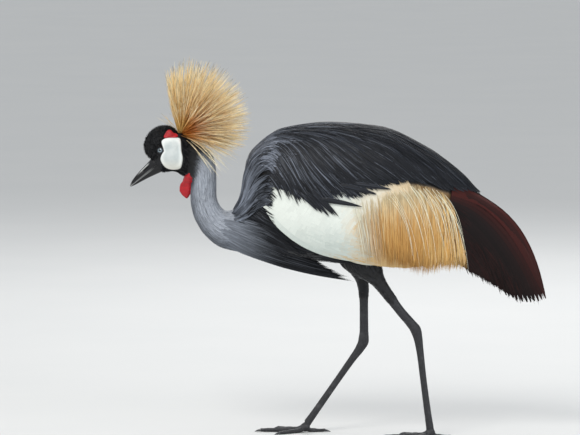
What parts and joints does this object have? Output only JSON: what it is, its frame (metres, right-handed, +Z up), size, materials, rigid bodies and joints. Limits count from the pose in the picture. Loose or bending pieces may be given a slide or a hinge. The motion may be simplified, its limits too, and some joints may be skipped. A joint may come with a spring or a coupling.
{
  "type": "grey crowned crane",
  "caption": "Life-size still model of a grey crowned crane walking with its neck lowered, standing on its flat feet.",
  "frame": {"origin": "centre of the footprint of the whole bird, on the floor", "axes": "+X towards the tail, +Y towards the bird's right side, +Z up"},
  "size_m": [0.7248, 0.1924, 0.6647],
  "materials": {
    "velvet_black": "short velvety black feathers",
    "bill_horn": "dark slate horn, half gloss",
    "white_skin": "bare white skin, fine folds",
    "red_skin": "bare scarlet skin",
    "eye": "pale blue-grey iris under clear cornea",
    "crest_gold": "stiff straw-gold bristles with paler tips",
    "neck_grey": "pale grey lanceolate feathers",
    "mantle_grey": "grey shoulder and breast plumes with dark edges",
    "scapular_slate": "slate-black pointed feathers with grey shafts",
    "wing_white": "white covert feathers",
    "plume_gold": "golden hair-like plumes with pale shafts",
    "chestnut": "dark chestnut secondaries",
    "tail_black": "black tail feathers",
    "thigh_black": "short dark thigh feathers",
    "leg_black": "scaled black leg skin",
    "claw_black": "dark horn"
  },
  "bodies": {
    "root": {"head": "velvet_black", "bill_upper": "bill_horn", "bill_lower": "bill_horn", "cheek_left": "white_skin", "cheek_right": "white_skin", "red_skin_left": "red_skin", "red_skin_right": "red_skin", "eye_left": "eye", "eye_right": "eye", "wattle": "red_skin", "crest": "crest_gold", "neck_upper": "neck_grey", "neck_middle": "neck_grey", "neck_lower": "neck_grey", "torso": "mantle_grey", "scapulars_left": "scapular_slate", "scapulars_right": "scapular_slate", "wing_panel_left": "wing_white", "wing_panel_right": "wing_white", "wing_plumes_left": "plume_gold", "wing_plumes_right": "plume_gold", "wing_secondaries_left": "chestnut", "wing_secondaries_right": "chestnut", "tail": "tail_black", "thigh_left": "thigh_black", "thigh_right": "thigh_black", "shank_left": "leg_black", "shank_right": "leg_black", "tarsus_left": "leg_black", "tarsus_right": "leg_black", "foot_left": "leg_black", "foot_right": "leg_black", "claw_middle_left": "claw_black", "claw_inner_left": "claw_black", "claw_outer_left": "claw_black", "claw_hind_left": "claw_black", "claw_middle_right": "claw_black", "claw_inner_right": "claw_black", "claw_outer_right": "claw_black", "claw_hind_right": "claw_black"}
  },
  "joints": []
}
